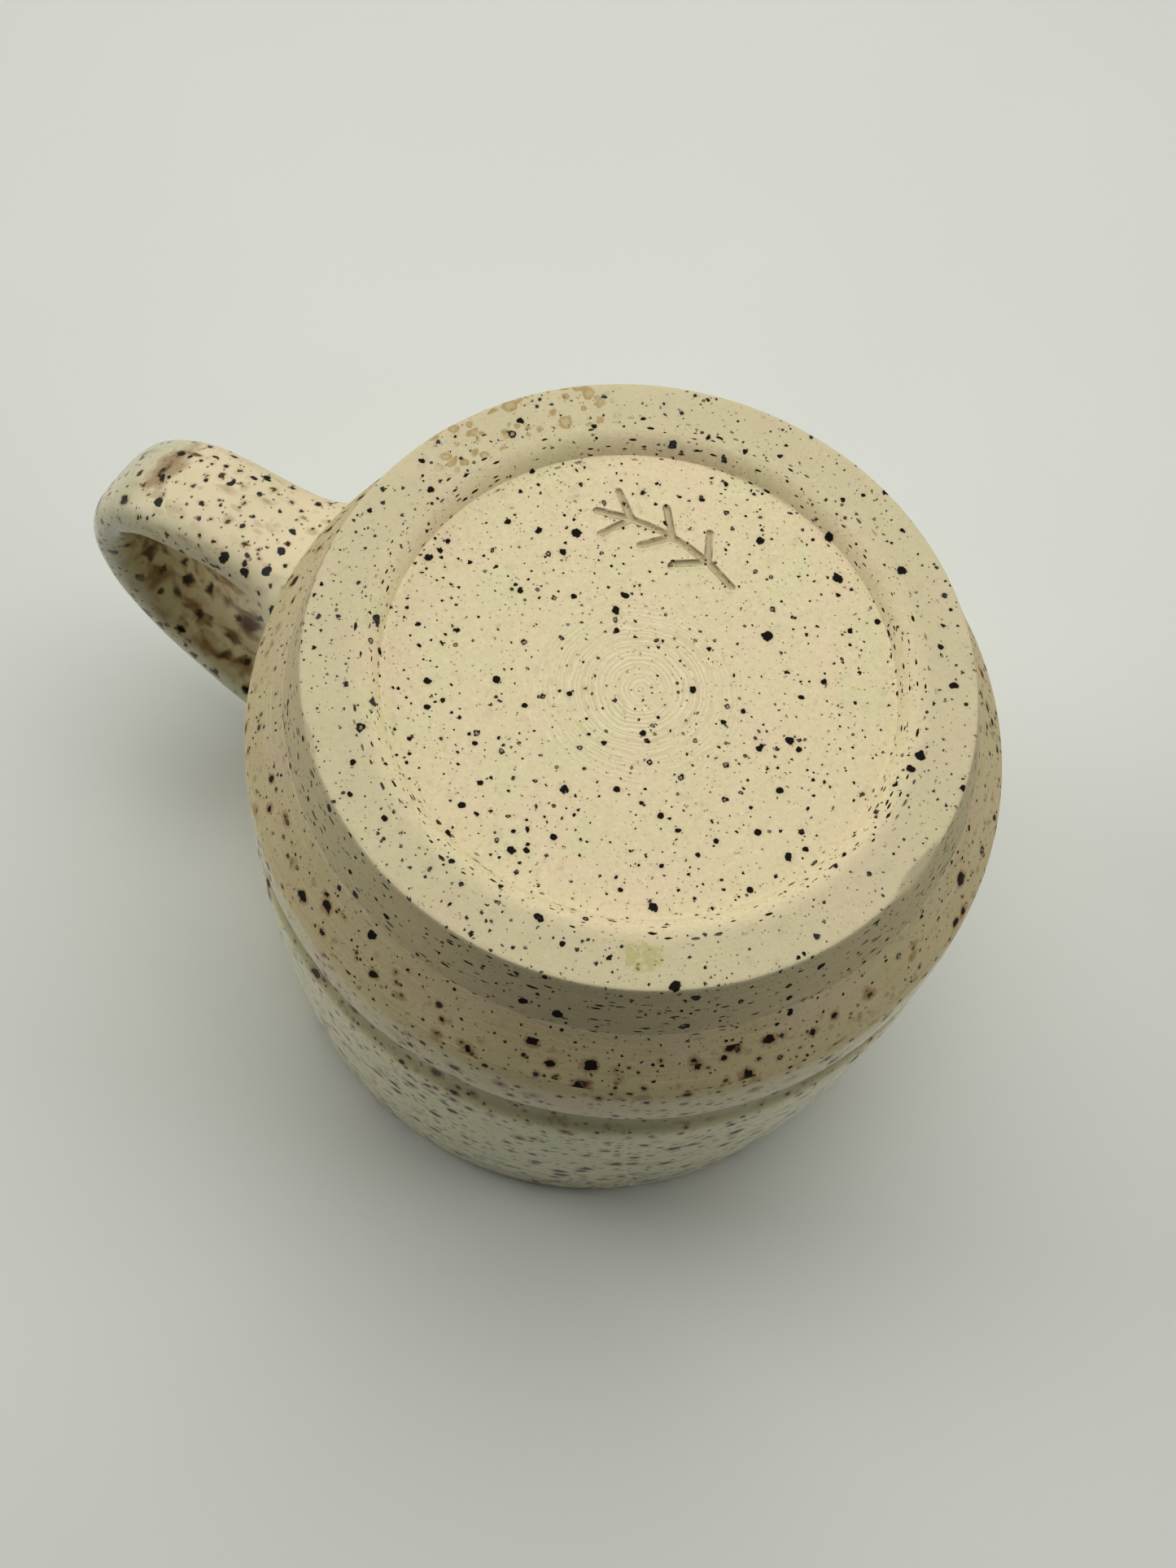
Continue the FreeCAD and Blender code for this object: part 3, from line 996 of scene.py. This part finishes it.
def strap_glaze_finish():
    """Satin cream on the foot-side leg, wet green and brown round the bend and on the inside."""
    finish = Finish("strap_glaze")
    along, across, inward = finish.strap_place()
    inside = inward.between(1.2, 3.0)
    round_bend = along.between(24.0, 33.0)
    wet = round_bend.larger(inside)
    clouds = finish.noise(6.0, 1.5, 2.0).between(0.4, 0.65)
    colour = finish.mix(clouds, strap_cream, strap_pale_green)
    green = finish.noise(7.0, 4.5, 2.0).between(0.35, 0.60)
    colour = finish.mix(round_bend * (0.35 + green * 0.5), colour, bend_green)
    colour = finish.mix(across.between(-4.5, -7.6) * 0.5, colour, edge_olive)

    # glaze that ran down the inside while the mug stood upright
    sway = finish.noise(5.0, 25.0, 1.0) * 4.5
    runs = finish.noise(1.0, 27.0, 2.0, 0.5, finish.vector(along * 0.16, (across + sway) * 0.42, 0.0))
    drips = finish.noise(1.0, 29.0, 1.0, 0.5, finish.vector(along * 0.26, (across + sway) * 0.46, 0.0))
    colour = finish.mix(inside * 0.70, colour, inside_olive)
    colour = finish.mix(inside * runs.between(0.47, 0.66) * 0.95, colour, run_brown)
    colour = finish.mix(inside * drips.between(0.56, 0.72) * 0.95, colour, drip_black)

    # one dark blotch near the top of the bend
    blot_place = finish.vector((along - 27.0) * 0.80, (across - 0.6) * 0.36, inward * 0.1)
    blot = finish.node("ShaderNodeVectorMath", {"operation": "LENGTH"}, {0: blot_place})
    blot = Value(finish, blot.outputs["Value"]) + (finish.noise(1.6, 33.0, 3.0) - 0.5) * 2.6
    outer = 1 - inside
    colour = finish.mix(blot.between(2.3, 0.9) * outer * 0.70, colour, blotch_brown)
    colour = finish.mix(blot.between(0.75, 0.3) * outer, colour, blotch_black)

    fine = Specks(finish, *strap_fine)
    middle = Specks(finish, *strap_middle)
    large = Specks(finish, *strap_large)
    drawn_place = finish.vector(along * 0.45, across, inward)
    drawn = Specks(finish, *strap_drawn, drawn_place)
    edge = across.between(1.5, 4.5) * along.between(34.0, 24.0)
    open_side = 1 - inside * 0.85
    colour = finish.mix(fine.mask(0.4) * open_side * 0.85, colour, strap_speck_brown)
    colour = bled_specks(finish, colour, middle, 0.30, open_side)
    colour = bled_specks(finish, colour, drawn, 0.25, edge)
    # on the satin parts some large specks get the painted slate-grey sheen
    grey = (large.tone > 0.6) * (1 - wet)
    colour = finish.mix(large.halo(1.7) * wet * 0.6, colour, rust)
    core = finish.mix(grey * finish.noise(0.25, 51.0, 2.0).between(0.3, 0.6), iron_black, iron_sheen_grey)
    colour = finish.mix(large.mask(0.25 + inside * 0.5), colour, core)

    ripple = finish.noise(3.0, 17.8, 2.0) * 0.06 + finish.noise(0.45, 18.8, 2.0) * 0.010 * (1 - wet)
    finish.set(
        colour=colour, roughness=0.56 - wet * 0.30, coat=wet * 0.35, coat_roughness=0.10,
        normal=finish.bump(ripple, MM), specular=0.35,
    )
    return finish.material


def plain_under_clay():
    """Clay that the glaze hides."""
    finish = Finish("clay_under_glaze")
    finish.set(
        colour=clay_colour(finish), roughness=0.85,
        normal=finish.bump(finish.noise(0.4, 5.0, 2.0) * 0.05, MM),
    )
    return finish.material


def paint(piece, material):
    piece.data.materials.clear()
    piece.data.materials.append(material)


# --- stage, light and camera --------------------------------------------------------------

camera_place = Vector((32.9, -95.5, 265.9)) * MM
camera_ahead = Vector((-0.1483, 0.3853, -0.9108))
camera_right = Vector((0.8495, 0.5212, 0.0822))
camera_lens = 41.1
# the camera's level heading and its left; only the lamps are placed by them
away = Vector((camera_ahead.x, camera_ahead.y, 0)).normalized()
left = Vector((-away.y, away.x, 0))
table_grey = (0.72, 0.745, 0.70)
table_pale = (0.735, 0.755, 0.715)
lamp_white = (1.0, 0.99, 0.96)
room_tint = (0.93, 0.97, 0.94, 1)
room_strength = 0.04
overhead_height = Vector((0, 0, 0.53))
low_height = Vector((0, 0, 0.42))
low_distance = 0.90


def stage_floor():
    clear_selection()
    bpy.ops.mesh.primitive_plane_add(size=4, location=(0, 0, 0))
    floor = bpy.context.object
    floor.name = "table"
    finish = Finish("pale_table")
    cloud = finish.noise(60.0, 2.0, 2.0).between(0.3, 0.7)
    finish.set(colour=finish.mix(cloud, table_grey, table_pale), roughness=0.55, specular=0.3)
    paint(floor, finish.material)


def area_light(name, place, target, size, power, colour):
    light = bpy.data.lights.new(name, "AREA")
    light.shape = "DISK"
    light.size = size
    light.energy = power
    light.color = colour
    lamp = bpy.data.objects.new(name, light)
    lamp.location = place
    lamp.rotation_euler = (target - place).to_track_quat("-Z", "Y").to_euler()
    bpy.context.scene.collection.objects.link(lamp)


def studio():
    mug_middle = Vector((0, 0, foot_height / 2))
    overhead = away * 0.18 + overhead_height
    left_low = left * low_distance + away * 0.08 + low_height
    right_low = left * -low_distance + away * 0.08 + low_height
    area_light("overhead_softbox", overhead, mug_middle, 0.66, 2.65, lamp_white)
    area_light("left_softbox", left_low, mug_middle, 0.5, 3.0, lamp_white)
    area_light("right_softbox", right_low, mug_middle, 0.5, 1.9, lamp_white)
    world = bpy.data.worlds.new("room")
    bpy.context.scene.world = world
    world.use_nodes = True
    background = world.node_tree.nodes["Background"]
    background.inputs["Color"].default_value = room_tint
    background.inputs["Strength"].default_value = room_strength
    bpy.context.scene.view_settings.view_transform = "Standard"


def camera():
    eye = bpy.data.cameras.new("camera")
    eye.sensor_width = 36
    eye.lens = camera_lens
    eye.clip_start = 0.01
    body = bpy.data.objects.new("camera", eye)
    ahead = camera_ahead.normalized()
    right = (camera_right - ahead * camera_right.dot(ahead)).normalized()
    up = right.cross(ahead)
    turn = Matrix((right, up, -ahead)).transposed()
    body.matrix_world = Matrix.Translation(camera_place) @ turn.to_4x4()
    bpy.context.scene.collection.objects.link(body)
    bpy.context.scene.camera = body


# --- put together -------------------------------------------------------------------------

camera()
studio()
stage_floor()

clay = thrown_clay()
outer_coat, rim_coat, liner_coat = glaze_coats()
strap_coat = handle_coat()

paint(clay, bare_clay())
wall_glaze = wall_glaze_finish()
paint(outer_coat, wall_glaze)
paint(rim_coat, wall_glaze)
paint(liner_coat, liner_glaze_finish())
paint(strap_coat, strap_glaze_finish())
hidden_clay = plain_under_clay()
for node in ("pulled_handle", "foot_side_joint", "rim_side_joint"):
    paint(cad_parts[node], hidden_clay)
